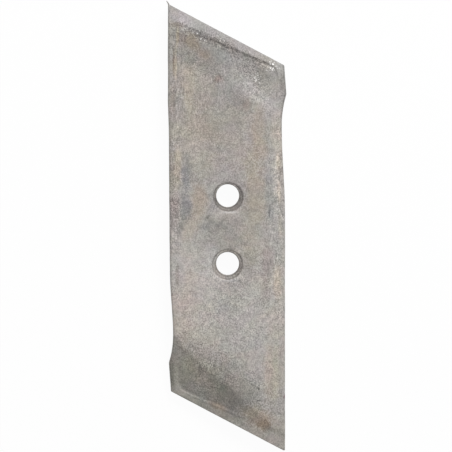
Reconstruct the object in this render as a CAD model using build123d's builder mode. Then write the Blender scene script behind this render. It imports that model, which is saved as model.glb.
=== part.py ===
import os
from math import atan2, cos, degrees, radians, sin, tan

from build123d import *

os.makedirs("parts", exist_ok=True)

# Ploughshare point: one forged and punched steel bar, a reversible point with a
# slanted cutting end at each end. All sizes are in millimetres.
# The origin is midway between the two bolt holes, on the flat soil face (z = 0).
# +Y runs along the bar, +Z points out of the bearing face, which carries the forging.

# Bar. Its left side leans out from the lower straight towards a flare near the upper end
thickness = 12.0
right_half = 33.8
right_straight_end = 8.0
left_half = 33.95
left_straight_start = -26.0
left_lean = 0.75
flare_half = 35.1
flare_start = 62.0
flare_length = 14.0
face_edge_radius = 1.6
soil_edge_radius = 1.2

# Cutting ends, each measured as if it were the lower one
lower_slant = 27.4
upper_slant = 27.6
heel_half = 33.5
lower_reach = 130.5
upper_reach = 132.9
cutting_edge_radius = 0.6

# Sides behind the heels: bulged where the forging spread the steel, then waisted
bulge_half = 34.7
bulge_back = 17.2
bulge_radius = 4.0
lower_waist_half = 32.1
lower_waist_back = 33.5
upper_waist_half = 31.85
upper_waist_back = 36.0

# Forged slope, which thins the heel corner; it starts on a line across the bearing face
heel_thickness = 4.3
slope_side_back = 32.8
slope_slant = 41.3
slope_length = 40.0
lower_shoulder_radius = 9.0
upper_shoulder_radius = 30.0

# Facet at the sharp tip
tip_facet_back = 13.2
tip_facet_tilt = 15.5

# Dish hammered into the slope; it leaves a side rim and, along the cutting edge, a land
# that widens from the heel corner on
dish_extra_tilt = 2.7
lower_dish_run = 59.0
upper_dish_run = 66.0
land_heel_width = 1.1
land_turn = 3.8
side_rim_width = 3.4
dish_heel_radius = 9.0
dish_end_radius = 9.0
dish_foot_radius = 3.0
dish_overrun = 10.0

# Bolt holes for countersunk plough bolts, with the ring broken out by the punch
hole_spacing = 40.0
hole_radius = 6.75
countersink_radius = 12.0
countersink_angle = 90.0
breakout_step = 0.5
breakout_lean = 0.3
breakout_depth = 1.1
lower_breakout_radius = 8.9
lower_breakout_shift_y = -0.6
upper_breakout_radius = 8.45
upper_breakout_shift_x = 0.4
upper_breakout_shift_y = -0.8

# Burr that curls off the upper sharp corner
burr_root_radius = 0.55
burr_middle_radius = 0.35
burr_end_radius = 0.15
burr_length = 1.9
burr_curl = 1.0
burr_drop = 1.0

# The slope falls from the full thickness to the heel corner
slope_fall = thickness - heel_thickness
slope_tilt = degrees(atan2(slope_fall, slope_side_back * cos(radians(slope_slant))))

# Cutting blocks reach past the bar on every side
block_size = 2 * (lower_reach + upper_reach)


def heel_corner(reach, nose_half, end_slant):
    rise = (nose_half + heel_half) * tan(radians(end_slant))
    return Vector(-heel_half, -reach + rise)


def heel_side(heel, waist_half, waist_back, straight, onward, turn):
    """Side of the bar from a heel to its straight part; turn is -1 for the upper end."""
    bulge = Vector(-bulge_half, heel.Y + bulge_back)
    waist = Vector(-waist_half, heel.Y + waist_back)
    Line(heel * turn, bulge * turn)
    TangentArc(waist * turn, bulge * turn, tangent=(0, -turn))
    Spline(waist * turn, straight, tangents=[(0, turn), onward])


def slope_start(heel):
    """Line where the slope starts, as a plane: x along the line, y into the bar."""
    side = Vector(-heel_half, heel.Y + slope_side_back, thickness)
    slant = radians(slope_slant)
    return Plane(origin=side, x_dir=(cos(slant), -sin(slant)), z_dir=(0, 0, 1))


def tilted(plane, tilt):
    """The same plane turned about its x axis, so that it falls away from the bar."""
    fall = plane.y_dir * -tan(radians(tilt))
    return Plane(origin=plane.origin, x_dir=plane.x_dir, z_dir=plane.z_dir + fall)


def above(plane, mode=Mode.ADD):
    with Locations(plane):
        Box(
            block_size,
            block_size,
            block_size,
            align=(Align.CENTER, Align.CENTER, Align.MIN),
            mode=mode,
        )


def side_profile(lower_start, upper_start):
    """Bar seen along the slope lines: a flat between two slopes, with rounded shoulders."""
    view = Plane(origin=(0, 0, 0), x_dir=lower_start.y_dir, z_dir=lower_start.x_dir)
    lower_hinge = view.to_local_coords(lower_start.origin).X
    upper_hinge = -view.to_local_coords(upper_start.origin).X
    slope_end = thickness - slope_length * tan(radians(slope_tilt))
    with BuildPart() as profile:
        with BuildSketch(view) as outline:
            with BuildLine():
                Polyline(
                    (lower_hinge - slope_length, -thickness),
                    (lower_hinge - slope_length, slope_end),
                    (lower_hinge, thickness),
                    (upper_hinge, thickness),
                    (upper_hinge + slope_length, slope_end),
                    (upper_hinge + slope_length, -thickness),
                    close=True,
                )
            make_face()
            lower_shoulder = outline.vertices().group_by(Axis.Y)[-1].sort_by(Axis.X)[0]
            fillet(lower_shoulder, lower_shoulder_radius)
            upper_shoulder = outline.vertices().group_by(Axis.Y)[-1].sort_by(Axis.X)[-1]
            fillet(upper_shoulder, upper_shoulder_radius)
        extrude(amount=block_size / 2, both=True)
    return profile.part


def tip_facet(reach):
    start = Plane(origin=(0, tip_facet_back - reach, thickness), x_dir=(1, 0, 0), z_dir=(0, 0, 1))
    with BuildPart() as cutter:
        above(tilted(start, tip_facet_tilt))
    return cutter.part


def dish(heel, end_slant, dish_run):
    """Shallow dish with a rounded foot, open where its floor comes out at the flat face."""
    start = slope_start(heel)
    end_way = radians(end_slant)
    land_way = radians(end_slant - land_turn)
    land_start = heel + Vector(sin(end_way), cos(end_way)) * land_heel_width
    land = Plane(origin=land_start, x_dir=(cos(land_way), -sin(land_way)), z_dir=(0, 0, 1))
    rim = side_rim_width - bulge_half
    heel_foot = land.from_local_coords(((rim - land_start.X) / cos(land_way), 0))
    far_foot = land.from_local_coords((dish_run, 0))
    open_side = start.origin + start.y_dir * dish_overrun
    far_open = open_side + start.x_dir * dish_run
    with BuildPart() as cutter:
        with BuildSketch() as outline:
            with BuildLine():
                Polyline(
                    (rim, open_side.Y),
                    (heel_foot.X, heel_foot.Y),
                    (far_foot.X, far_foot.Y),
                    (far_open.X, far_open.Y),
                    close=True,
                )
            make_face()
            fillet(outline.vertices().sort_by_distance(heel_foot)[0], dish_heel_radius)
            fillet(outline.vertices().sort_by_distance(far_foot)[0], dish_end_radius)
        extrude(amount=2 * thickness)
        above(tilted(start, slope_tilt + dish_extra_tilt), mode=Mode.INTERSECT)
        fillet(cutter.faces().sort_by(Axis.Z)[0].edges(), dish_foot_radius)
    return cutter.part


def breakout(radius):
    """Ring round a bolt hole: a short steep step, then a ledge that falls to the hole."""
    with BuildPart() as ring:
        with BuildSketch(Plane.XZ):
            with BuildLine():
                Polyline(
                    (0, breakout_step),
                    (radius, breakout_step),
                    (radius, 0),
                    (radius - breakout_lean, -breakout_step),
                    (hole_radius, -breakout_depth),
                    (0, -breakout_depth),
                    close=True,
                )
            make_face()
        revolve(axis=Axis.Z)
    return ring.part


def burr(corner):
    """Thin tapered spike that leaves the corner along the bar and curls outwards."""
    root = corner + Vector(burr_root_radius, -burr_length / 2)
    middle = corner + Vector(-burr_curl / 5, burr_length / 2)
    end = corner + Vector(-burr_curl, burr_length)
    with BuildPart() as spike:
        with BuildSketch(Plane(origin=root, z_dir=middle - root)):
            Circle(burr_root_radius)
        with BuildSketch(Plane(origin=middle, z_dir=end - root)):
            Circle(burr_middle_radius)
        with BuildSketch(Plane(origin=end, z_dir=end - middle)):
            Circle(burr_end_radius)
        loft()
    return spike.part


def end_faces(bar):
    """The two slanted ends of the bar, each square to the bar's flat faces."""
    slants = [radians(lower_slant), radians(upper_slant)]
    ways = [Axis((0, 0, 0), (sin(slant), cos(slant), 0)) for slant in slants]
    return ShapeList(face for way in ways for face in bar.faces().filter_by(way))


def long_edges(bar):
    """Edges along the two sides of the bar, without the upright ones at its corners."""
    top_and_soil = bar.faces().filter_by(lambda face: abs(face.normal_at().Z) > sin(radians(slope_tilt)))
    sides = bar.faces() - top_and_soil - end_faces(bar)
    return sides.edges().filter_by(Axis.Z, reverse=True)


def cutting_edges(bar):
    """Upper and lower edge of each slanted end."""
    return ShapeList(edge for face in end_faces(bar) for edge in face.edges().sort_by(SortBy.LENGTH)[-2:])


lower_heel = heel_corner(lower_reach, right_half, lower_slant)
upper_heel = heel_corner(upper_reach, flare_half, upper_slant)
lower_nose = Vector(right_half, -lower_reach)
upper_nose = Vector(-flare_half, upper_reach)
nose_height = thickness - tip_facet_back * tan(radians(tip_facet_tilt))

plateau = side_profile(slope_start(lower_heel), slope_start(upper_heel))
lower_cutters = [tip_facet(lower_reach), dish(lower_heel, lower_slant, lower_dish_run)]
upper_cutters = [tip_facet(upper_reach), dish(upper_heel, upper_slant, upper_dish_run)]
lower_ring = breakout(lower_breakout_radius)
upper_ring = breakout(upper_breakout_radius)
spike = burr(upper_nose + Vector(0, 0, nose_height - burr_drop))

with BuildPart() as share_point:
    with BuildSketch() as plan:
        right_straight = Vector(right_half, right_straight_end)
        left_straight = Vector(-left_half, left_straight_start)
        flare_foot = Vector(-left_half - left_lean, flare_start)
        flare_top = Vector(-flare_half, flare_start + flare_length)
        left_way = flare_foot - left_straight
        with BuildLine():
            heel_side(lower_heel, lower_waist_half, lower_waist_back, left_straight, left_way, 1)
            Line(left_straight, flare_foot)
            Spline(flare_foot, flare_top, tangents=[left_way, (0, 1)])
            Line(flare_top, upper_nose)
            Line(upper_nose, upper_heel * -1)
            heel_side(upper_heel, upper_waist_half, upper_waist_back, right_straight, (0, -1), -1)
            Line(right_straight, lower_nose)
            Line(lower_nose, lower_heel)
        make_face()
        for heel, turn in ((lower_heel, 1), (upper_heel, -1)):
            bulge = Vector(-bulge_half, heel.Y + bulge_back) * turn
            fillet(plan.vertices().sort_by_distance(bulge)[0], bulge_radius)
    extrude(amount=2 * thickness)
    add(plateau, mode=Mode.INTERSECT)

    fillet(long_edges(share_point).group_by(Axis.Z)[0], soil_edge_radius)
    side_edges = long_edges(share_point)
    fillet(side_edges - side_edges.group_by(Axis.Z)[0], face_edge_radius)
    fillet(cutting_edges(share_point), cutting_edge_radius)

    for cutter in lower_cutters:
        add(cutter, mode=Mode.SUBTRACT)
    for cutter in upper_cutters:
        add(cutter.rotate(Axis.Z, 180), mode=Mode.SUBTRACT)
    add(spike)

    with Locations(Plane(origin=(0, 0, 0), x_dir=(1, 0, 0), z_dir=(0, 0, -1))):
        with GridLocations(hole_spacing, hole_spacing, 1, 2):
            CounterSinkHole(hole_radius, countersink_radius, counter_sink_angle=countersink_angle)
    with Locations((0, lower_breakout_shift_y - hole_spacing / 2, thickness)):
        add(lower_ring, mode=Mode.SUBTRACT)
    with Locations((upper_breakout_shift_x, upper_breakout_shift_y + hole_spacing / 2, thickness)):
        add(upper_ring, mode=Mode.SUBTRACT)

share_point.part.label = "share_point"
export_step(share_point.part, "parts/share_point.step")
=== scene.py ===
import math

import bmesh
import bpy
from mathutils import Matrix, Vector, noise


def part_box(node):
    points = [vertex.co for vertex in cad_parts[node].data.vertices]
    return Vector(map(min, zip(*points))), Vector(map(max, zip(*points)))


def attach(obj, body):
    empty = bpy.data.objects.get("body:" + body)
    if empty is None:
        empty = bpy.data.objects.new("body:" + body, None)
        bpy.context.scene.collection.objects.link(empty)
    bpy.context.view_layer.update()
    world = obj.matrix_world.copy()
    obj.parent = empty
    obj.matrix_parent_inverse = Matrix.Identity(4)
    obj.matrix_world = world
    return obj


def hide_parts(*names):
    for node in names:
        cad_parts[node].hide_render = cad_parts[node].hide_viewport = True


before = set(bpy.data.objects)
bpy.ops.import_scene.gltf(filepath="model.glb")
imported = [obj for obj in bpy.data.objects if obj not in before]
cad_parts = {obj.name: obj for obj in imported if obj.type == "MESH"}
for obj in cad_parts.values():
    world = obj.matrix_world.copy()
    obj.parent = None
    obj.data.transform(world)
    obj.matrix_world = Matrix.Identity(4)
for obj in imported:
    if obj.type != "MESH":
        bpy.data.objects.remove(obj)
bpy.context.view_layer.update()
mm = 0.001


# Helpers for objects, materials and node trees
def addToScene(name, data):
    thing = bpy.data.objects.new(name, data)
    bpy.context.scene.collection.objects.link(thing)
    return thing


def newMaterial(name):
    material = bpy.data.materials.new(name)
    material.use_nodes = True
    material.node_tree.nodes.clear()
    return material


def addNode(tree, kind, **settings):
    node = tree.nodes.new(kind)
    inputs = settings.pop("inputs", {})
    for name, value in settings.items():
        setattr(node, name, value)
    for name, value in inputs.items():
        if isinstance(value, bpy.types.NodeSocket):
            tree.links.new(value, node.inputs[name])
        else:
            node.inputs[name].default_value = value
    return node


def newGroup(name, inputs, outputs):
    group = bpy.data.node_groups.new(name, "ShaderNodeTree")
    for label, value in inputs.items():
        kind = "NodeSocketVector" if isinstance(value, tuple) else "NodeSocketFloat"
        socket = group.interface.new_socket(name=label, in_out="INPUT", socket_type=kind)
        socket.default_value = value
    for label in outputs:
        group.interface.new_socket(name=label, in_out="OUTPUT", socket_type="NodeSocketFloat")
    return group, group.nodes.new("NodeGroupInput").outputs, group.nodes.new("NodeGroupOutput").inputs


def mathNode(tree, operation, *values):
    inputs = dict(enumerate(values))
    return addNode(tree, "ShaderNodeMath", operation=operation, inputs=inputs).outputs[0]


def vectorNode(tree, operation, *values):
    node = addNode(tree, "ShaderNodeVectorMath", operation=operation, inputs=dict(enumerate(values)))
    return node.outputs["Value"] if operation in ("LENGTH", "DOT_PRODUCT") else node.outputs["Vector"]


def scaledVector(tree, vector, scale):
    inputs = {0: vector, "Scale": scale}
    return addNode(tree, "ShaderNodeVectorMath", operation="SCALE", inputs=inputs).outputs["Vector"]


def mixColours(tree, factor, first, second, blend="MIX"):
    inputs = {0: factor, 6: first, 7: second}
    return addNode(tree, "ShaderNodeMix", data_type="RGBA", blend_type=blend, inputs=inputs).outputs[2]


def tintColour(tree, mask, colour, tint):
    shade = (*tint, 1.0) if isinstance(tint, tuple) else (tint, tint, tint, 1.0)
    return mixColours(tree, mask, colour, shade, "MULTIPLY")


def noiseNode(tree, vector, scale, detail, roughness, distortion):
    inputs = {
        "Vector": vector, "Scale": scale, "Detail": detail, "Roughness": roughness,
        "Distortion": distortion,
    }
    return addNode(tree, "ShaderNodeTexNoise", inputs=inputs).outputs


def rangeNode(tree, value, low, high, toLow=0.0, toHigh=1.0):
    inputs = {"Value": value, "From Min": low, "From Max": high, "To Min": toLow, "To Max": toHigh}
    return addNode(tree, "ShaderNodeMapRange", interpolation_type="SMOOTHSTEP", inputs=inputs).outputs[0]


def maskNode(tree, group, label, inputs):
    return addNode(tree, "ShaderNodeGroup", node_tree=group, label=label, inputs=inputs).outputs["Mask"]


# The forged bar: a finely cut copy of the CAD bar, dented the way forging leaves it; sizes in mm
barForm = {
    "weldGap": 0.002,             # how far apart doubled corners of the CAD mesh may lie
    "cutStep": 3.0,               # from one of the first cuts across the mesh to the next
    "cutGap": 0.0005,             # corners this near a cut count as on it
    "fineEdge": 1.1,              # longest edge left on the bearing side
    "coarseEdge": 2.2,            # longest edge left on the soil side
    "soilSkin": 0.5,              # how far up the soil side reaches
    "shortEdge": 0.15,            # edges shorter than this are merged
    "leastAgreement": 0.2,        # how far a triangle may tilt in a merge, as a cosine
    "broadWave": (0.10, 24.0),    # height and length of the unevenness
    "hammerWave": (0.055, 7.5),
    "scaleWave": (0.022, 2.2),
    "waveShift": (3.1, 7.7),      # where in the noise the waves are taken
    "soilShare": 0.5,             # how much of the unevenness the soil face has
    "soilFacing": -0.5,           # a normal lower than this faces the soil
    "bearingFacing": 0.9,         # a normal higher than this lies on the bearing face
    "rings": ((0.4, 19.2, 8.45), (0.0, -20.6, 8.9)),    # the broken-out rings: centre and radius
    "lipHeight": 0.24,            # burr raised on the lower side of each ring
    "lipTop": 1.5,                # how far outside the ring it is highest
    "lipEnd": 6.5,                # and where it ends
}


def unevenness(place):
    height = 0.0
    for size, length in (barForm["broadWave"], barForm["hammerWave"], barForm["scaleWave"]):
        height += size * noise.noise(place / length + Vector((length, *barForm["waveShift"])))
    return height


def lipAround(place):
    top, end = barForm["lipTop"], barForm["lipEnd"]
    height = 0.0
    for x, y, radius in barForm["rings"]:
        away = Vector((place.x - x, place.y - y))
        outside = away.length - radius
        if 0.0 < outside < end:
            rise = min(outside / top, (end - outside) / (end - top), 1.0)
            side = max(0.0, -away.y / away.length)
            height += barForm["lipHeight"] * rise * rise * (3 - 2 * rise) * side ** 2
    return height


def turnsOver(vert, target):
    for face in vert.link_faces:
        if target in face.verts:
            continue
        a, b, c = (target.co if corner is vert else corner.co for corner in face.verts)
        normal = (b - a).cross(c - a)
        if normal.dot(face.normal) <= barForm["leastAgreement"] * normal.length:
            return True
    return False


def mergeShortEdges(bm):
    # only where the bar stays closed and no triangle turns over
    bm.normal_update()
    while True:
        touched, targets = set(), {}
        for edge in bm.edges:
            first, second = edge.verts
            if edge.calc_length() > barForm["shortEdge"] * mm or first in touched or second in touched:
                continue
            aroundFirst = {link.other_vert(first) for link in first.link_edges}
            aroundSecond = {link.other_vert(second) for link in second.link_edges}
            if len(aroundFirst & aroundSecond) == 2 and not turnsOver(first, second):
                targets[first] = second
                touched |= aroundFirst | aroundSecond
        if not targets:
            return
        bmesh.ops.weld_verts(bm, targetmap=targets)
        bm.normal_update()


def splitLongEdges(bm):
    # each pass splits the longest edges, one to a triangle
    while True:
        bm.edges.index_update()
        longEdges = []
        for edge in bm.edges:
            onSoilSide = max(vert.co.z for vert in edge.verts) < barForm["soilSkin"] * mm
            length = edge.calc_length() / mm
            if length > barForm["coarseEdge" if onSoilSide else "fineEdge"]:
                longEdges.append((-round(length, 4), edge.index, edge))
        if not longEdges:
            return
        used, chosen = set(), []
        for _, _, edge in sorted(longEdges, key=lambda item: item[:2]):
            if not any(face in used for face in edge.link_faces):
                chosen.append(edge)
            used.update(edge.link_faces)
        bmesh.ops.subdivide_edges(bm, edges=chosen, cuts=1, use_grid_fill=True, use_single_edge=True)


def cutAcross(bm):
    low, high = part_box("share_point")
    step = barForm["cutStep"] * mm
    for axis in range(3):
        normal = Vector([1.0 if i == axis else 0.0 for i in range(3)])
        for k in range(1, math.ceil((high[axis] - low[axis]) / step)):
            bmesh.ops.bisect_plane(
                bm, geom=bm.verts[:] + bm.edges[:] + bm.faces[:], dist=barForm["cutGap"] * mm,
                plane_co=Vector(low) + normal * (k * step), plane_no=normal,
            )
    bmesh.ops.triangulate(bm, faces=bm.faces[:])


def dentBar(bm):
    moves = []
    for vert in bm.verts:
        place = vert.co / mm
        height = unevenness(place)
        if vert.normal.z < barForm["soilFacing"]:
            height = min(0.0, height * barForm["soilShare"])
        elif vert.normal.z > barForm["bearingFacing"]:
            height += lipAround(place)
        moves.append(vert.normal * (height * mm))
    for vert, move in zip(bm.verts, moves):
        vert.co += move
        vert.co.z = max(vert.co.z, 0.0)


def makeForgedBar():
    mesh = bpy.data.meshes.new("forgedBar")
    bm = bmesh.new()
    bm.from_mesh(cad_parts["share_point"].data)
    bmesh.ops.remove_doubles(bm, verts=bm.verts[:], dist=barForm["weldGap"] * mm)
    cutAcross(bm)
    mergeShortEdges(bm)
    splitLongEdges(bm)
    mergeShortEdges(bm)
    dentBar(bm)
    for face in bm.faces:
        face.smooth = True
    bm.to_mesh(mesh)
    print("forged bar:", len(bm.faces), "triangles")
    bm.free()
    bar = addToScene("forgedBar", mesh)
    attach(bar, "root")
    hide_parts("share_point")
    return bar


# The forged steel's look; places in mm, a tint is three shares of red, green and blue or one for all
steelLook = {
    "warmGrey": (0.350, 0.322, 0.292, 1.0),
    "coolGrey": (0.324, 0.309, 0.294, 1.0),
    "mauveTint": (1.015, 0.988, 1.005),
    "greenTint": (0.985, 1.006, 0.98),
    "speckGrey": (0.90, 0.89, 0.88, 1.0),
    "metallic": 0.25,
    # ranges: the noise's low and high value, and what they become
    "toneRange": (0.35, 0.65),
    "gritShade": (0.3, 0.7, 0.755, 1.245),
    "mottleShade": (0.3, 0.7, 0.845, 1.155),
    "roughness": (0.3, 0.7, 0.52, 0.72),
    "patchEdgeGrit": (0.2, 0.8, -0.25, 0.25),
    "ringTop": (0.6, 0.95),       # how near a ring's top its gap begins, and where it is widest
    "facingUp": (0.0, 0.5),       # how upward a face is where patches begin to show, and show in full
    "gritRelief": 0.05,
    "mottleRelief": 0.12,
    "mostRagged": 5.0,            # how far a patch's edge wanders at most
    "raggedShare": 1.3,           # and as a share of the patch's half width
    "groundWander": (5.0, 5.0, 0.0),    # how far a ground's edge wanders
    "groundEnd": (-5.0, 5.0),     # how softly a ground ends along its line
    "zoneSwing": 1.5,             # how strongly a zone of strength 1 swings light and dark
    # worn or stained ground beyond a line: name, point on the line, way across it in degrees,
    # softness and its growth along the line, how far along the line it reaches, tint
    "grounds": [
        ("upperSlope", (33.3, 64.6), 48.7, 5.0, 0.0, 200, (0.62, 0.62, 0.625)),
        ("upperLand", (3.5, 107.7), 64.6, 0.9, 0.0, 200, (1.17, 1.17, 1.19)),
        ("lowerSlope", (-33.3, -61.0), 228.7, 1.2, 0.07, 60, (0.74, 0.75, 0.735)),
        ("lowerLand", (-15.9, -101.4), 247.3, 0.9, 0.0, 58, (1.20, 1.19, 1.17)),
    ],
    # stains, painted shade and painted light: name, centre, half lengths, turn in degrees, tint, softness
    "stainsAndPaintedShading": [
        # the upper end: nose, land, dish and corner
        ("upperDish", (-13.0, 102.3), (19.0, 9.5), -25, 0.76, 0.5),
        ("upperLeftDarker", (-30.0, 98.2), (4.7, 24.7), 0, (0.91, 0.90, 0.89), 0.6),
        ("cornerLight", (26.4, 95.2), (5.3, 2.9), -20, (1.16, 1.16, 1.17), 0.6),
        ("shadeAtNoseSide", (-31.2, 118.2), (2.4, 4.1), 0, 0.93, 0.6),
        ("shadeOnUpperDish", (-7.7, 104.1), (4.1, 4.1), 0, 0.92, 0.6),
        ("shadeUnderCorner", (18.2, 88.8), (5.9, 2.9), -20, 0.94, 0.6),
        ("dishTopPale", (-12.4, 110.8), (10.0, 2.1), -26, 1.04, 0.7),
        ("noseShade", (-30.6, 115.8), (2.9, 2.1), 0, 0.82, 0.6),
        ("noseGlow", (-26.5, 121.1), (3.5, 2.4), -28, 1.12, 0.6),
        ("landGlow", (14.6, 102.9), (3.5, 2.1), -28, 1.16, 0.6),
        ("cornerShade", (22.9, 92.9), (4.1, 2.9), -20, 0.86, 0.6),
        ("upperBluePale", (-3.0, 92.9), (3.5, 2.9), 0, 1.10, 0.6),
        ("dishPale", (-20.0, 98.2), (3.5, 2.4), 0, 1.10, 0.6),
        ("warmUpperDish", (-22.4, 109.9), (5.3, 7.1), -20, (1.03, 1.00, 0.97), 0.6),
        # painted light over the shade of the dish foot beside the rim
        ("rimFootPale", (29.1, 87.6), (0.8, 6.5), 0, 1.30, 0.5),
        ("rimTopShade", (32.2, 85.3), (1.1, 5.9), 0, (0.74, 0.73, 0.73), 0.5),
        # painted light over the shade of the crease at the land's foot
        ("creasePale", (23.8, 96.1), (4.7, 0.9), -27, 1.40, 0.5),
        ("landPaler", (9.9, 104.1), (5.9, 2.4), -28, 1.10, 0.6),
        ("landDarker", (-7.7, 114.1), (5.3, 2.4), -28, 0.93, 0.6),
        ("noseLight", (-27.1, 125.2), (8.8, 3.8), -28, (1.13, 1.11, 1.15), 0.5),
        ("noseBrown", (-30.0, 119.9), (4.1, 2.1), -10, (0.76, 0.72, 0.68), 0.5),
        ("upperPurple", (-26.8, 113.5), (3.2, 3.5), 30, (0.74, 0.69, 0.68), 0.5),
        ("upperOlive", (-20.6, 110.5), (4.1, 5.3), 35, (0.86, 0.81, 0.70), 0.5),
        ("upperRustSpots", (-13.6, 102.9), (3.5, 2.6), -30, (0.88, 0.82, 0.76), 0.6),
        ("upperBeigeStreak", (-29.4, 113.5), (5.9, 0.9), 88, (1.28, 1.22, 1.07), 0.5),
        ("leftBeigeLine", (-30.5, 97.6), (10.6, 0.8), 90, (1.13, 1.08, 0.99), 0.5),
        ("leftDarkLine", (-31.7, 98.2), (8.2, 0.5), 90, (0.66, 0.60, 0.54), 0.6),
        ("landShadow", (0.8, 106.4), (24.0, 3.0), -25.4, (0.74, 0.73, 0.72), 0.45),
        ("landShadowStart", (-17.4, 115.2), (6.0, 2.2), -27, (0.76, 0.74, 0.77), 0.6),
        ("upperDarkEnd", (17.6, 92.3), (9.4, 4.7), -35, (0.80, 0.79, 0.78), 0.6),
        ("upperBlue", (-2.4, 102.9), (8.2, 4.1), -25, (1.06, 1.10, 1.13), 0.6),
        ("redSpot", (-5.3, 88.5), (2.9, 2.1), 0, (0.86, 0.76, 0.74), 0.6),
        ("leftBeigeColumn", (-23.0, 86.4), (3.5, 14.1), 0, (1.04, 1.01, 0.95), 0.6),
        ("leftBluePatch", (-22.4, 100.0), (4.7, 3.5), 0, (0.84, 0.88, 0.90), 0.6),
        # the upper body
        ("upperBody", (-4.0, 74.0), (19.0, 30.0), 0, (0.90, 0.895, 0.89), 0.6),
        ("paleByLeft", (-19.4, 46.5), (3.5, 8.8), 0, 1.10, 0.6),
        ("shadeRightOfShoulder", (24.1, 65.3), (4.7, 7.1), 0, 0.95, 0.6),
        ("shadeUpperBody", (-10.6, 79.4), (5.3, 5.3), 0, 0.95, 0.6),
        ("shadeMiddleUpper", (-9.4, 58.2), (4.7, 5.9), 0, 0.95, 0.6),
        ("rightEdgeTop", (27.9, 75.9), (1.8, 2.9), 0, 1.07, 0.6),
        ("leftEdgeShadeLong", (-32.7, 37.1), (1.5, 16.5), 0, 0.87, 0.6),
        ("rightEdgeShade", (31.1, 35.9), (1.5, 8.2), 0, 0.84, 0.6),
        ("rightPaleLong", (27.6, 33.6), (1.8, 11.8), 0, 1.10, 0.6),
        ("leftOvalUpper", (-24.7, 32.4), (2.1, 5.3), 3, (0.86, 0.88, 0.92), 0.35),
        ("coolUpperRight", (7.6, 80.6), (10.6, 10.6), 0, (0.985, 1.00, 1.02), 0.6),
        ("coolRightUpper", (28.8, 46.5), (2.9, 9.4), 0, (0.98, 1.00, 1.03), 0.6),
        ("mauveMiddle", (9.9, 34.7), (14.1, 21.2), 0, (1.007, 0.985, 1.007), 0.6),
        ("rightPaleAtBulge", (29.3, 74.7), (2.9, 4.7), 0, 1.10, 0.6),
        ("warmUpperLeft", (-18.8, 53.5), (11.8, 21.2), 0, (1.03, 1.00, 0.95), 0.6),
        ("warmRightUpper", (13.5, 38.8), (4.1, 11.8), 0, (1.02, 1.00, 0.95), 0.6),
        ("leftEdgeShadeUpper", (-32.1, 31.8), (2.1, 5.9), 0, (0.87, 0.85, 0.83), 0.6),
        # painted light: the rounded shoulder along the upper slope's line, lit where it faces the lamp
        ("shoulderLight", (12.3, 82.9), (23.5, 3.5), -41, (1.14, 1.14, 1.15), 0.7),
        ("shoulderPale", (23.5, 75.3), (10.0, 6.5), -35, (1.04, 1.04, 1.05), 0.6),
        ("bodyDarkPatch", (5.2, 76.4), (7.6, 5.3), -45, 0.84, 0.6),
        ("redSpotRight", (11.1, 72.9), (2.4, 3.5), 0, (0.90, 0.83, 0.82), 0.6),
        ("leftPurple", (-32.1, 75.9), (1.8, 8.2), 0, (0.84, 0.79, 0.78), 0.6),
        ("rightPaleColumn", (29.0, 53.5), (3.2, 12.9), 4, (1.18, 1.13, 1.06), 0.6),
        ("rightTanUpper", (18.5, 54.7), (4.1, 15.3), 4, (1.02, 0.97, 0.89), 0.6),
        ("leftBeigeMiddle", (-29.4, 37.1), (2.1, 10.6), 0, (1.10, 1.06, 0.99), 0.6),
        ("leftBlueMiddle", (-24.1, 34.1), (3.2, 11.2), 2, (0.79, 0.82, 0.86), 0.5),
        ("paleStreakA", (29.9, 39.4), (1.2, 4.7), 4, (1.24, 1.20, 1.13), 0.6),
        # the middle, round the holes
        ("darkByLowerHole", (12.0, -21.0), (4.5, 10.0), 0, 0.80, 0.6),
        ("darkAcrossMiddle", (0.5, -5.2), (16.0, 8.5), 0, 0.90, 0.6),
        ("palerRightSide", (27.5, 26.0), (4.5, 24.0), 0, 1.09, 0.6),
        ("darkByUpperHole", (11.7, 17.1), (3.5, 8.8), 0, 0.88, 0.6),
        ("paleLeftLower", (-24.1, -19.3), (8.2, 11.8), 0, (1.09, 1.09, 1.10), 0.6),
        ("shadeLeftOfLowerHole", (-16.5, -8.8), (5.3, 3.5), 0, 0.93, 0.6),
        ("paleByLowerHole", (-10.0, -16.4), (2.4, 4.7), 0, 1.10, 0.6),
        ("shadeUnderUpperHole", (6.4, 4.8), (5.3, 2.9), 0, 0.94, 0.6),
        ("paleLeftOfHole", (-10.0, -30.5), (10.0, 8.2), 0, 1.055, 0.9),
        ("rightEdgeMiddle", (27.9, 12.4), (1.8, 3.5), 0, 1.07, 0.6),
        ("leftEdgeMiddle", (-31.5, -5.2), (1.8, 5.3), 0, 1.06, 0.6),
        ("holeSideShade", (-7.4, 15.3), (1.3, 2.9), 0, 0.84, 0.6),
        ("holeShoulderPale", (-9.4, 24.2), (2.4, 1.8), 45, 1.12, 0.6),
        ("holeTopShade", (1.1, 28.0), (6.5, 1.5), 0, 0.88, 0.6),
        ("paleUnderHoleLeft", (-5.9, 7.1), (3.5, 2.4), 0, 1.12, 0.6),
        ("shadeRightBetween", (15.2, -0.5), (3.5, 2.4), 0, 0.88, 0.6),
        ("shadeLeftBetween", (-11.2, -4.1), (2.9, 2.4), 0, 0.90, 0.6),
        ("ovalSidePale", (-21.8, 20.6), (1.8, 2.4), 0, 1.14, 0.6),
        ("paleRightOfHole", (13.5, 20.0), (2.4, 5.9), 0, 1.10, 0.6),
        ("rightDarkLine", (24.6, 10.6), (0.6, 3.5), 0, 0.70, 0.5),
        ("warmLeftOfLowerHole", (-20.0, -21.7), (5.3, 7.1), 0, (1.03, 1.00, 0.965), 0.6),
        ("warmByUpperHole", (12.3, 13.0), (4.1, 5.3), 0, (1.03, 1.00, 0.97), 0.6),
        ("warmRightLow", (21.7, -9.9), (3.5, 5.9), 0, (1.02, 1.00, 0.97), 0.6),
        ("shadeBelowUpperHole", (-0.6, 3.0), (10.6, 4.7), 0, 0.93, 0.6),
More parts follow.
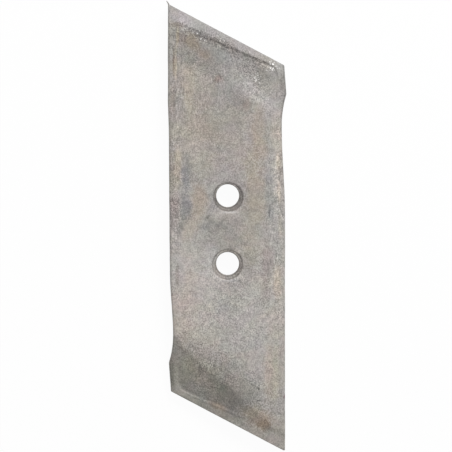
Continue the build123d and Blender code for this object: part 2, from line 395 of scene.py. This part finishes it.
        ("coolMiddle", (-14.1, -12.3), (12.9, 27.0), 0, (0.98, 1.00, 1.04), 0.6),
        ("warmRightMiddle", (13.5, -9.3), (4.7, 10.6), 0, (1.03, 1.00, 0.94), 0.6),
        ("shadeRightLower", (22.0, -37.5), (2.9, 9.4), 0, (0.88, 0.86, 0.85), 0.6),
        ("shadeBelowLowerHole", (1.1, -35.8), (7.6, 5.3), 0, 0.92, 0.6),
        ("leftEdgeShadeMiddle", (-31.8, 12.4), (2.1, 5.3), 0, (0.89, 0.87, 0.87), 0.6),
        # painted highlight: the step wall below the upper hole, lit from above
        ("upperCrescent", (1.2, 10.1), (5.4, 0.65), 0, (1.19, 1.22, 1.26), 0.5),
        # painted shade: the dark rim line under the lower hole
        ("lowerCrescent", (1.4, -30.0), (5.0, 0.9), 0, (0.84, 0.86, 0.88), 0.5),
        ("leftOval", (-24.1, 12.4), (3.2, 7.1), 5, (0.73, 0.75, 0.79), 0.35),
        ("leftOvalTail", (-26.8, 3.0), (1.8, 5.3), -12, (0.78, 0.80, 0.80), 0.4),
        ("leftMauve", (-30.9, 12.4), (2.6, 10.0), 0, (0.90, 0.85, 0.85), 0.6),
        ("tanByUpperHole", (-16.5, 17.1), (4.4, 8.8), 0, (1.00, 0.94, 0.86), 0.6),
        ("beigeBelowOval", (-21.8, 1.8), (4.7, 8.2), -25, (1.04, 1.01, 0.94), 0.6),
        ("darkBetweenHoles", (-7.7, 2.4), (6.5, 5.3), 0, (0.80, 0.81, 0.80), 0.6),
        ("darkAboveLowerHole", (1.1, -7.6), (8.2, 4.7), 0, (0.86, 0.86, 0.85), 0.7),
        ("darkNick", (-11.8, 7.1), (1.8, 0.8), 45, 0.66, 0.6),
        ("paleBelowUpperHole", (-0.6, 8.0), (8.2, 2.4), 0, 1.10, 0.6),
        ("tanBandRight", (16.1, 21.8), (5.3, 16.5), 3, (1.01, 0.97, 0.90), 0.6),
        ("blueBandRight", (24.9, 23.0), (2.9, 17.6), 2, (0.84, 0.88, 0.92), 0.5),
        ("paleStreakB", (30.2, 21.8), (1.1, 7.1), 2, (1.24, 1.20, 1.13), 0.6),
        ("paleStreakC", (30.8, 2.4), (1.2, 7.1), 0, (1.20, 1.18, 1.12), 0.6),
        ("mauveRight", (23.5, -19.9), (3.8, 8.2), 0, (0.84, 0.79, 0.79), 0.6),
        ("orangeColumn", (29.3, -31.1), (2.4, 10.0), 2, (1.10, 1.03, 0.94), 0.6),
        ("leftMarksLower", (-29.7, -27.0), (1.1, 6.5), 0, (0.80, 0.78, 0.76), 0.6),
        # the lower body
        ("paleLowerBody", (0.0, -45.0), (42.0, 44.0), 0, 1.18, 0.45),
        ("shadeByBoundary", (-21.8, -66.3), (7.1, 4.1), -42, (0.81, 0.81, 0.80), 0.6),
        ("shadeAboveBoundary", (-16.5, -71.6), (5.3, 3.5), -40, 0.92, 0.6),
        ("shadeInLowerRight", (9.9, -75.7), (5.3, 5.3), 0, 0.93, 0.6),
        ("slopeStartShade", (-29.7, -64.6), (2.4, 2.9), 0, 0.82, 0.6),
        ("boundaryBulge", (-14.7, -75.4), (6.5, 2.4), -15, 0.85, 0.6),
        ("paleAcrossBody", (14.1, -51.1), (10.6, 3.5), 0, 1.045, 0.8),
        ("coolUnderLowerHole", (-4.7, -41.7), (5.3, 12.9), 0, (0.98, 1.00, 1.03), 0.6),
        ("shadeInLowerBody", (-0.6, -52.2), (5.9, 15.3), 0, 0.93, 0.6),
        ("pinkLowerLeft", (-25.3, -41.7), (5.9, 20.0), 0, (1.05, 0.99, 0.98), 0.7),
        # the lower end: slope, rim, land and tip
        ("speckledShade", (-2.0, -80.0), (15.0, 6.0), -42, 0.80, 0.6),
        ("slopeHalo", (9.9, -93.4), (7.6, 9.4), -40, 0.84, 0.6),
        ("shadeAtBoundary", (-1.8, -86.3), (4.1, 3.5), -40, 0.91, 0.6),
        ("shadeAtLowerLand", (2.9, -106.9), (4.7, 2.4), -28, 0.92, 0.6),
        ("slopePale", (-23.5, -79.3), (2.9, 4.1), 0, 1.13, 0.6),
        ("rimPaleLow", (-29.7, -92.2), (1.8, 2.9), 0, 1.08, 0.6),
        ("rimLineShade", (-28.8, -85.1), (0.7, 5.9), 0, (0.90, 0.89, 0.91), 0.5),
        ("creaseShade", (-19.4, -97.3), (10.0, 0.9), -26, (0.80, 0.80, 0.81), 0.5),
        ("landPaleStart", (-23.8, -98.4), (7.6, 1.4), -27, 1.22, 0.6),
        ("landPaleCurl", (-28.8, -94.3), (2.9, 1.4), -60, 1.12, 0.6),
        ("rightEdgeLow", (28.2, -93.4), (1.8, 8.8), 0, 1.07, 0.6),
        ("pinkBandLower", (24.3, -79.9), (2.4, 17.6), -3, (1.03, 0.985, 0.985), 0.6),
        ("greenBandLower", (28.5, -84.0), (2.1, 17.6), -2, (0.985, 1.01, 0.97), 0.6),
        ("slopeOlive", (-23.0, -80.4), (5.3, 6.5), 20, (0.99, 1.01, 0.97), 0.6),
        ("slopeMottleDark", (-15.9, -83.4), (2.4, 2.9), 30, 0.93, 0.6),
        ("slopeMottleGreen", (-3.6, -93.4), (2.9, 2.4), 0, (0.98, 1.02, 0.99), 0.6),
        ("slopeMottleBrown", (-10.6, -92.2), (2.9, 3.5), 30, (1.02, 0.99, 0.98), 0.6),
        ("boundaryEndShade", (0.5, -89.3), (2.9, 2.9), -40, 0.87, 0.6),
        ("arcFootShade", (12.3, -99.8), (2.4, 2.9), 0, 0.85, 0.6),
        ("arcSidePale", (18.2, -93.4), (2.9, 3.5), 0, 1.14, 0.6),
        ("lowerLandFootA", (-8.9, -101.6), (2.4, 1.8), -28, 0.87, 0.6),
        ("lowerLandFootB", (3.5, -107.5), (7.1, 1.8), -22, 0.89, 0.6),
        ("warmSlope", (-17.1, -81.6), (10.6, 11.8), -40, (1.02, 1.00, 0.96), 0.6),
        ("coolLowerRight", (20.5, -78.7), (8.8, 14.1), 0, (0.98, 1.00, 1.04), 0.6),
        ("slopeMiddleDark", (-4.7, -85.7), (9.4, 7.1), -40, (0.85, 0.85, 0.84), 0.6),
        ("arcShade", (16.4, -98.7), (3.5, 5.9), 0, (0.87, 0.87, 0.86), 0.6),
        ("lowerLandDark", (7.0, -111.6), (7.6, 2.6), -25, (0.88, 0.88, 0.87), 0.6),
        ("heelCornerPale", (-28.0, -95.4), (3.5, 1.5), -50, 1.10, 0.5),
        ("arcMarkA", (15.4, -91.6), (2.5, 0.4), -30, 0.70, 0.5),
        ("arcMarkB", (18.2, -93.4), (1.2, 0.7), -50, 0.52, 0.5),
        ("arcMarkC", (17.8, -95.7), (1.5, 0.4), 70, 0.66, 0.5),
        ("arcMarkD", (15.5, -99.8), (2.8, 0.45), 58, 0.90, 0.5),
        ("dashMark", (18.8, -100.7), (1.9, 0.55), 0, 0.64, 0.5),
        ("beigeRightLower", (25.8, -84.0), (4.1, 17.6), 0, (1.05, 1.02, 0.96), 0.7),
        ("slopeDarkest", (1.1, -97.5), (10.6, 5.9), -32, (0.81, 0.82, 0.80), 0.6),
        ("rustByLand", (-5.9, -103.9), (5.3, 2.0), -25, (1.00, 0.90, 0.83), 0.6),
        ("brownTip", (17.6, -110.4), (10.0, 5.3), -30, (0.92, 0.85, 0.76), 0.6),
        ("brownTipDark", (21.1, -114.8), (3.8, 2.9), -20, (0.86, 0.81, 0.74), 0.6),
        ("rimPale", (-30.5, -85.7), (1.6, 7.6), 3, (1.18, 1.19, 1.19), 0.5),
        ("bulgeDark", (-32.9, -83.4), (1.2, 9.4), 3, (0.78, 0.79, 0.78), 0.5),
        ("edgeSpeck", (33.6, -98.1), (0.7, 1.1), 0, (0.55, 0.35, 0.42), 0.5),
    ],
    # where the grit is coarser: name, centre, half lengths, turn in degrees, softness, strength
    "roughZones": [
        ("upperRightGrit", (16.5, 87.6), (8.0, 15.0), 40, 0.6, 0.7),
        ("landFootGrit", (-1.0, 108.0), (26.0, 2.6), -25.4, 0.6, 1.1),
        ("boundaryGrit", (0.5, -83.0), (18.0, 7.0), -42, 0.6, 0.35),
        ("noseFootGrit", (-27.0, 115.0), (7.0, 6.0), 0, 0.6, 0.6),
        ("leftEdgeGrit", (-31.0, 10.0), (2.5, 40.0), 0, 0.6, 0.6),
        ("rightEdgeGrit", (30.5, 0.0), (3.0, 60.0), 0, 0.6, 0.6),
        ("slopeGrit", (-16.0, -85.0), (19.0, 11.0), -38, 0.5, 0.6),
        ("lowerBodyGrit", (0.0, -48.0), (36.0, 26.0), 0, 0.6, 0.25),
        ("tipGrit", (22.0, -96.0), (9.0, 16.0), 0, 0.6, 0.4),
    ],
    # where short upright streaks show: name, centre, half lengths, turn, softness, strength
    "streakZones": [
        ("upperBodyStreaks", (-12.0, 78.0), (12.0, 14.0), 0, 0.6, 0.8),
        ("leftEdgeStreaks", (-29.0, 60.0), (4.5, 60.0), 0, 0.6, 0.9),
        ("rightEdgeStreaks", (28.0, 10.0), (5.5, 55.0), 0, 0.6, 0.9),
    ],
    # where small light specks lie: name, centre, half lengths, turn, softness, strength
    "speckZones": [
        ("cornerSpecks", (26.4, 96.2), (4.8, 3.0), -30, 0.4, 1.0),
        ("landFootSpecks", (-16.0, 113.4), (4.4, 1.8), -35, 0.5, 0.45),
        ("shoulderSpecks", (17.6, 87.6), (3.0, 5.0), 20, 0.6, 0.35),
    ],
    # round the holes, painted shade on the ledges, rims and walls and painted light at the walls' tops:
    # name, centre, radius of the band's middle, its half width, softness, how open it is at the top, tint
    "rings": [
        ("upperLedge", (0.4, 19.2), 7.6, 0.8, 0.25, 0.0, (0.90, 0.89, 0.88)),
        ("upperLedgeFoot", (0.2, 18.7), 6.7, 1.0, 0.35, 0.0, (0.60, 0.59, 0.58)),
        ("upperRim", (0.5, 19.4), 8.6, 0.45, 0.35, 0.9, (0.55, 0.54, 0.53)),
        ("upperWall", (0.0, 19.5), 6.8, 0.45, 0.25, 0.0, (0.62, 0.61, 0.60)),
        ("upperTopPale", (0.0, 20.4), 6.8, 0.40, 0.25, 0.0, 1.70),
        ("lowerLedge", (0.0, -20.6), 7.8, 1.0, 0.25, 0.0, (0.94, 0.93, 0.92)),
        ("lowerLedgeFoot", (0.0, -21.2), 6.9, 1.2, 0.35, 0.0, (0.64, 0.63, 0.62)),
        ("lowerRim", (0.0, -20.3), 8.9, 0.40, 0.35, 0.7, (0.66, 0.65, 0.64)),
        ("lowerWall", (0.0, -20.5), 6.8, 0.45, 0.25, 0.0, (0.66, 0.65, 0.64)),
        ("lowerTopPale", (0.0, -19.1), 7.0, 0.45, 0.30, 0.0, 1.35),
    ],
}

# The steel's grain, in mm
grainForm = {
    # noises: scale, detail, roughness, distortion
    "fine": (1.25, 2.0, 0.7, 0.0),
    "patches": (0.09, 2.0, 0.5, 0.0),
    "mottle": (0.33, 3.0, 0.55, 0.4),
    "tone": (0.055, 4.0, 0.55, 0.8),
    "hue": (0.10, 3.0, 0.5, 0.3),
    "streak": (0.9, 2.0, 0.6, 0.3),
    "wander": (0.25, 3.0, 0.5, 0.0),
    "hueShift": (71.0, -13.0, 29.0),      # takes the hue's noise from another place
    "streakStretch": (1.0, 0.25, 1.0),
    "cellStretch": (1.0, 0.65, 1.0),
    "cellScale": 1.9,
    "cellShare": 0.24,                    # how much the flat cells add to the grit
    # ranges: low and high value, and what they become
    "patchStrength": (0.35, 0.65, 0.7, 1.3),
    "speckEdge": (0.22, 0.42, 1.0, 0.0),
    "speckChance": (0.45, 0.6),
    "speckScale": 0.9,
}


def makeStainAndShadeGroup():
    group, inputs, outputs = newGroup(
        "stainAndShadePatch",
        {
            "Position": (0, 0, 0), "Centre": (0, 0, 0), "Half Lengths": (1, 1, 1), "Turn": 0.0,
            "Softness": 0.3, "Wander": (0, 0, 0), "Raggedness": 1.0, "Grit": 0.5,
        },
        ["Mask"],
    )
    wander = scaledVector(group, inputs["Wander"], inputs["Raggedness"])
    place = vectorNode(group, "ADD", inputs["Position"], wander)
    away = vectorNode(group, "SUBTRACT", place, inputs["Centre"])
    turned = addNode(
        group, "ShaderNodeVectorRotate", rotation_type="Z_AXIS", invert=True,
        inputs={"Vector": away, "Angle": inputs["Turn"]},
    ).outputs[0]
    flat = vectorNode(group, "MULTIPLY", turned, (1, 1, 0))
    size = vectorNode(group, "LENGTH", vectorNode(group, "DIVIDE", flat, inputs["Half Lengths"]))
    size = mathNode(group, "ADD", size, rangeNode(group, inputs["Grit"], *steelLook["patchEdgeGrit"]))
    inner = mathNode(group, "SUBTRACT", 1.0, inputs["Softness"])
    outer = mathNode(group, "ADD", 1.0, inputs["Softness"])
    group.links.new(rangeNode(group, size, inner, outer, 1.0, 0.0), outputs["Mask"])
    return group


def makeRingGroup():
    group, inputs, outputs = newGroup(
        "ringAround",
        {
            "Position": (0, 0, 0), "Centre": (0, 0, 0), "Radius": 1.0, "Half Width": 1.0,
            "Softness": 0.3, "Top Gap": 0.0,
        },
        ["Mask"],
    )
    away = vectorNode(group, "SUBTRACT", inputs["Position"], inputs["Centre"])
    away = vectorNode(group, "MULTIPLY", away, (1, 1, 0))
    upwards = vectorNode(group, "DOT_PRODUCT", vectorNode(group, "NORMALIZE", away), (0, 1, 0))
    atTop = rangeNode(group, upwards, *steelLook["ringTop"])
    closed = mathNode(group, "SUBTRACT", 1.0, mathNode(group, "MULTIPLY", atTop, inputs["Top Gap"]))
    distance = vectorNode(group, "LENGTH", away)
    off = mathNode(group, "ABSOLUTE", mathNode(group, "SUBTRACT", distance, inputs["Radius"]))
    inner = mathNode(group, "SUBTRACT", inputs["Half Width"], inputs["Softness"])
    outer = mathNode(group, "ADD", inputs["Half Width"], inputs["Softness"])
    band = rangeNode(group, off, inner, outer, 1.0, 0.0)
    group.links.new(mathNode(group, "MULTIPLY", band, closed), outputs["Mask"])
    return group


def makeGroundGroup():
    group, inputs, outputs = newGroup(
        "groundBeyond",
        {
            "Position": (0, 0, 0), "Start": (0, 0, 0), "Way": (1, 0, 0), "Softness": 1.0,
            "Spread": 0.0, "Along": 100.0,
        },
        ["Mask"],
    )
    away = vectorNode(group, "SUBTRACT", inputs["Position"], inputs["Start"])
    reach = vectorNode(group, "DOT_PRODUCT", away, inputs["Way"])
    line = vectorNode(group, "CROSS_PRODUCT", (0, 0, 1), inputs["Way"])
    along = vectorNode(group, "DOT_PRODUCT", away, line)
    spread = mathNode(group, "MULTIPLY", mathNode(group, "MAXIMUM", along, 0.0), inputs["Spread"])
    softness = mathNode(group, "ADD", inputs["Softness"], spread)
    beyond = rangeNode(group, mathNode(group, "DIVIDE", reach, softness), -1.0, 1.0)
    left = rangeNode(group, mathNode(group, "SUBTRACT", inputs["Along"], along), *steelLook["groundEnd"])
    group.links.new(mathNode(group, "MULTIPLY", beyond, left), outputs["Mask"])
    return group


def makeGrainGroup():
    group, inputs, outputs = newGroup(
        "forgedGrain", {"Position": (0, 0, 0)}, ["Grit", "Mottle", "Tone", "Hue", "Streak", "Specks"],
    )
    position = inputs["Position"]

    def noiseFrom(name, place=position):
        return noiseNode(group, place, *grainForm[name])["Fac"]

    def cellsFrom(place, scale):
        cells = addNode(group, "ShaderNodeTexVoronoi", inputs={"Vector": place, "Scale": scale}).outputs
        colour = addNode(group, "ShaderNodeSeparateColor", inputs={0: cells["Color"]}).outputs
        return cells["Distance"], colour

    # grit: fine noise with flat cells in it, stronger in some places than in others
    cellPlace = vectorNode(group, "MULTIPLY", position, grainForm["cellStretch"])
    cellShade = mathNode(group, "SUBTRACT", cellsFrom(cellPlace, grainForm["cellScale"])[1][0], 0.5)
    cellShade = mathNode(group, "MULTIPLY", cellShade, grainForm["cellShare"])
    grit = mathNode(group, "ADD", mathNode(group, "SUBTRACT", noiseFrom("fine"), 0.5), cellShade)
    strength = rangeNode(group, noiseFrom("patches"), *grainForm["patchStrength"])
    grit = mathNode(group, "ADD", mathNode(group, "MULTIPLY", grit, strength), 0.5)
    group.links.new(grit, outputs["Grit"])

    # specks: round spots in about half of the cells
    distance, colour = cellsFrom(position, grainForm["speckScale"])
    spots = rangeNode(group, distance, *grainForm["speckEdge"])
    chosen = rangeNode(group, colour[1], *grainForm["speckChance"])
    group.links.new(mathNode(group, "MULTIPLY", spots, chosen), outputs["Specks"])

    shifted = vectorNode(group, "ADD", position, grainForm["hueShift"])
    upright = vectorNode(group, "MULTIPLY", position, grainForm["streakStretch"])
    group.links.new(noiseFrom("mottle"), outputs["Mottle"])
    group.links.new(noiseFrom("tone"), outputs["Tone"])
    group.links.new(noiseFrom("hue", shifted), outputs["Hue"])
    group.links.new(noiseFrom("streak", upright), outputs["Streak"])
    return group


def plainSteelColour(tree, grain):
    tone = rangeNode(tree, grain["Tone"], *steelLook["toneRange"])
    colour = mixColours(tree, tone, steelLook["warmGrey"], steelLook["coolGrey"])
    hue = rangeNode(tree, grain["Hue"], *steelLook["toneRange"])
    hue = mixColours(tree, hue, (*steelLook["mauveTint"], 1.0), (*steelLook["greenTint"], 1.0))
    for shade in (
        hue,
        rangeNode(tree, grain["Grit"], *steelLook["gritShade"]),
        rangeNode(tree, grain["Mottle"], *steelLook["mottleShade"]),
    ):
        colour = mixColours(tree, 1.0, colour, shade, "MULTIPLY")
    return colour


def addGrounds(tree, colour, position, wander):
    ragged = vectorNode(tree, "MULTIPLY_ADD", wander, steelLook["groundWander"], position)
    group = makeGroundGroup()
    for name, start, way, softness, spread, along, tint in steelLook["grounds"]:
        mask = maskNode(tree, group, name, {
            "Position": ragged, "Start": (*start, 0), "Softness": softness, "Spread": spread, "Along": along,
            "Way": (math.cos(math.radians(way)), math.sin(math.radians(way)), 0),
        })
        colour = tintColour(tree, mask, colour, tint)
    return colour


def addPatches(tree, colour, position, wander, grain):
    group = makeStainAndShadeGroup()

    def patchMask(name, centre, halfLengths, turn, softness, texture):
        return maskNode(tree, group, name, {
            "Position": position, "Centre": (*centre, 0), "Half Lengths": (*halfLengths, 1),
            "Turn": math.radians(turn), "Softness": softness, "Wander": wander,
            "Raggedness": min(steelLook["mostRagged"], steelLook["raggedShare"] * min(halfLengths)),
            "Grit": grain[texture],
        })

    for name, centre, halfLengths, turn, tint, softness in steelLook["stainsAndPaintedShading"]:
        mask = patchMask(name, centre, halfLengths, turn, softness, "Grit")
        colour = tintColour(tree, mask, colour, tint)
    for zones, texture in (("roughZones", "Grit"), ("streakZones", "Streak")):
        swing = mathNode(tree, "SUBTRACT", grain[texture], 0.5)
        for name, centre, halfLengths, turn, softness, strength in steelLook[zones]:
            mask = patchMask(name, centre, halfLengths, turn, softness, "Mottle")
            share = mathNode(tree, "MULTIPLY", swing, mask)
            shade = mathNode(tree, "MULTIPLY", share, strength * steelLook["zoneSwing"])
            colour = mixColours(tree, 1.0, colour, mathNode(tree, "ADD", shade, 1.0), "MULTIPLY")
    for name, centre, halfLengths, turn, softness, strength in steelLook["speckZones"]:
        mask = patchMask(name, centre, halfLengths, turn, softness, "Grit")
        share = mathNode(tree, "MULTIPLY", mathNode(tree, "MULTIPLY", mask, grain["Specks"]), strength)
        colour = mixColours(tree, share, colour, steelLook["speckGrey"])
    return colour


# paints shade and light round the holes
def addRingShading(tree, colour, position):
    group = makeRingGroup()
    for name, centre, radius, halfWidth, softness, topGap, tint in steelLook["rings"]:
        mask = maskNode(tree, group, name, {
            "Position": position, "Centre": (*centre, 0), "Radius": radius, "Half Width": halfWidth,
            "Softness": softness, "Top Gap": topGap,
        })
        colour = tintColour(tree, mask, colour, tint)
    return colour


def makeForgedSteel():
    material = newMaterial("forgedSteel")
    tree = material.node_tree
    coordinates = addNode(tree, "ShaderNodeTexCoord").outputs
    position = scaledVector(tree, coordinates["Object"], 1 / mm)
    grainGroup = makeGrainGroup()
    grain = addNode(tree, "ShaderNodeGroup", node_tree=grainGroup, inputs={"Position": position}).outputs
    wander = noiseNode(tree, position, *grainForm["wander"])["Color"]
    wander = vectorNode(tree, "SUBTRACT", wander, (0.5, 0.5, 0.5))

    plain = plainSteelColour(tree, grain)
    colour = addGrounds(tree, plain, position, wander)
    colour = addPatches(tree, colour, position, wander, grain)
    colour = addRingShading(tree, colour, position)
    facingUp = addNode(tree, "ShaderNodeSeparateXYZ", inputs={0: coordinates["Normal"]}).outputs[2]
    colour = mixColours(tree, rangeNode(tree, facingUp, *steelLook["facingUp"]), plain, colour)

    gritHeight = mathNode(tree, "MULTIPLY", grain["Grit"], steelLook["gritRelief"])
    mottleHeight = mathNode(tree, "MULTIPLY", grain["Mottle"], steelLook["mottleRelief"])
    height = mathNode(tree, "ADD", gritHeight, mottleHeight)
    bump = addNode(tree, "ShaderNodeBump", inputs={"Strength": 1.0, "Distance": mm, "Height": height})
    shader = addNode(tree, "ShaderNodeBsdfPrincipled", inputs={
        "Base Color": colour, "Metallic": steelLook["metallic"], "Normal": bump.outputs[0],
        "Roughness": rangeNode(tree, grain["Mottle"], *steelLook["roughness"]),
    })
    addNode(tree, "ShaderNodeOutputMaterial", inputs={"Surface": shader.outputs[0]})
    return material


# Floor, light and camera
studio = {
    "floorHalf": 3.0,          # half the floor's side, in m
    "floorDrop": 0.2,          # how far the floor lies below the bar, in mm
    "floorGrey": 0.85,
    "floorShare": 0.96,        # how much of the floor the camera sees as plain white
    "worldLevel": 0.38,
    "keyPower": 25.0,
    "keyTurn": 68.0,           # degrees from the bar's right side towards its upper end
    "keyRise": 40.0,
    "keyDistance": 1.6,
    "keySize": 0.7,
    "lens": 200.0,
    "sensorWidth": 36.0,
    "centre": (-0.93, 2.08),   # what the middle of the picture looks at, in mm
    "pictureWidth": 265.6,     # what the picture spans across at the bearing face, in mm
    "faceHeight": 12.0,
}


def seenShare(tree):
    path = addNode(tree, "ShaderNodeLightPath").outputs
    mirrored = mathNode(tree, "MAXIMUM", path["Is Glossy Ray"], path["Is Transmission Ray"])
    return mathNode(tree, "MAXIMUM", path["Is Camera Ray"], mirrored)


def makeFloor():
    bm = bmesh.new()
    bmesh.ops.create_grid(bm, x_segments=1, y_segments=1, size=studio["floorHalf"])
    bmesh.ops.translate(bm, verts=bm.verts[:], vec=(0, 0, -studio["floorDrop"] * mm))
    mesh = bpy.data.meshes.new("paleFloor")
    bm.to_mesh(mesh)
    bm.free()
    floor = addToScene("paleFloor", mesh)
    material = newMaterial("paleFloor")
    tree = material.node_tree
    grey = studio["floorGrey"]
    plain = addNode(tree, "ShaderNodeBsdfDiffuse", inputs={"Color": (grey, grey, grey, 1)}).outputs[0]
    white = addNode(tree, "ShaderNodeEmission", inputs={"Color": (1, 1, 1, 1), "Strength": 1.0}).outputs[0]
    share = mathNode(tree, "MULTIPLY", seenShare(tree), studio["floorShare"])
    mix = addNode(tree, "ShaderNodeMixShader", inputs={0: share, 1: plain, 2: white}).outputs[0]
    addNode(tree, "ShaderNodeOutputMaterial", inputs={"Surface": mix})
    mesh.materials.append(material)


def makeWorld():
    world = bpy.data.worlds.new("studioWorld")
    world.use_nodes = True
    tree = world.node_tree
    tree.nodes.clear()
    level = rangeNode(tree, seenShare(tree), 0.0, 1.0, studio["worldLevel"], 1.0)
    background = addNode(tree, "ShaderNodeBackground", inputs={"Color": (1, 1, 1, 1), "Strength": level})
    addNode(tree, "ShaderNodeOutputWorld", inputs={"Surface": background.outputs[0]})
    bpy.context.scene.world = world


def makeKeyLight():
    turn, rise = math.radians(studio["keyTurn"]), math.radians(studio["keyRise"])
    towards = Vector((math.cos(rise) * math.cos(turn), math.cos(rise) * math.sin(turn), math.sin(rise)))
    lamp = bpy.data.lights.new("keyLight", "AREA")
    lamp.energy = studio["keyPower"]
    lamp.size = studio["keySize"]
    key = addToScene("keyLight", lamp)
    key.location = towards * studio["keyDistance"]
    key.rotation_euler = towards.to_track_quat("Z", "Y").to_euler()


def makeCamera():
    lens = bpy.data.cameras.new("photoCamera")
    lens.lens = studio["lens"]
    lens.sensor_width = studio["sensorWidth"]
    distance = studio["pictureWidth"] * studio["lens"] / studio["sensorWidth"]
    camera = addToScene("photoCamera", lens)
    camera.location = Vector((*studio["centre"], studio["faceHeight"] + distance)) * mm
    bpy.context.scene.camera = camera
    bpy.context.scene.view_settings.view_transform = "Standard"


makeFloor()
makeWorld()
makeKeyLight()
makeCamera()
print("studio made")
bar = makeForgedBar()
bar.data.materials.append(makeForgedSteel())
print("steel made")
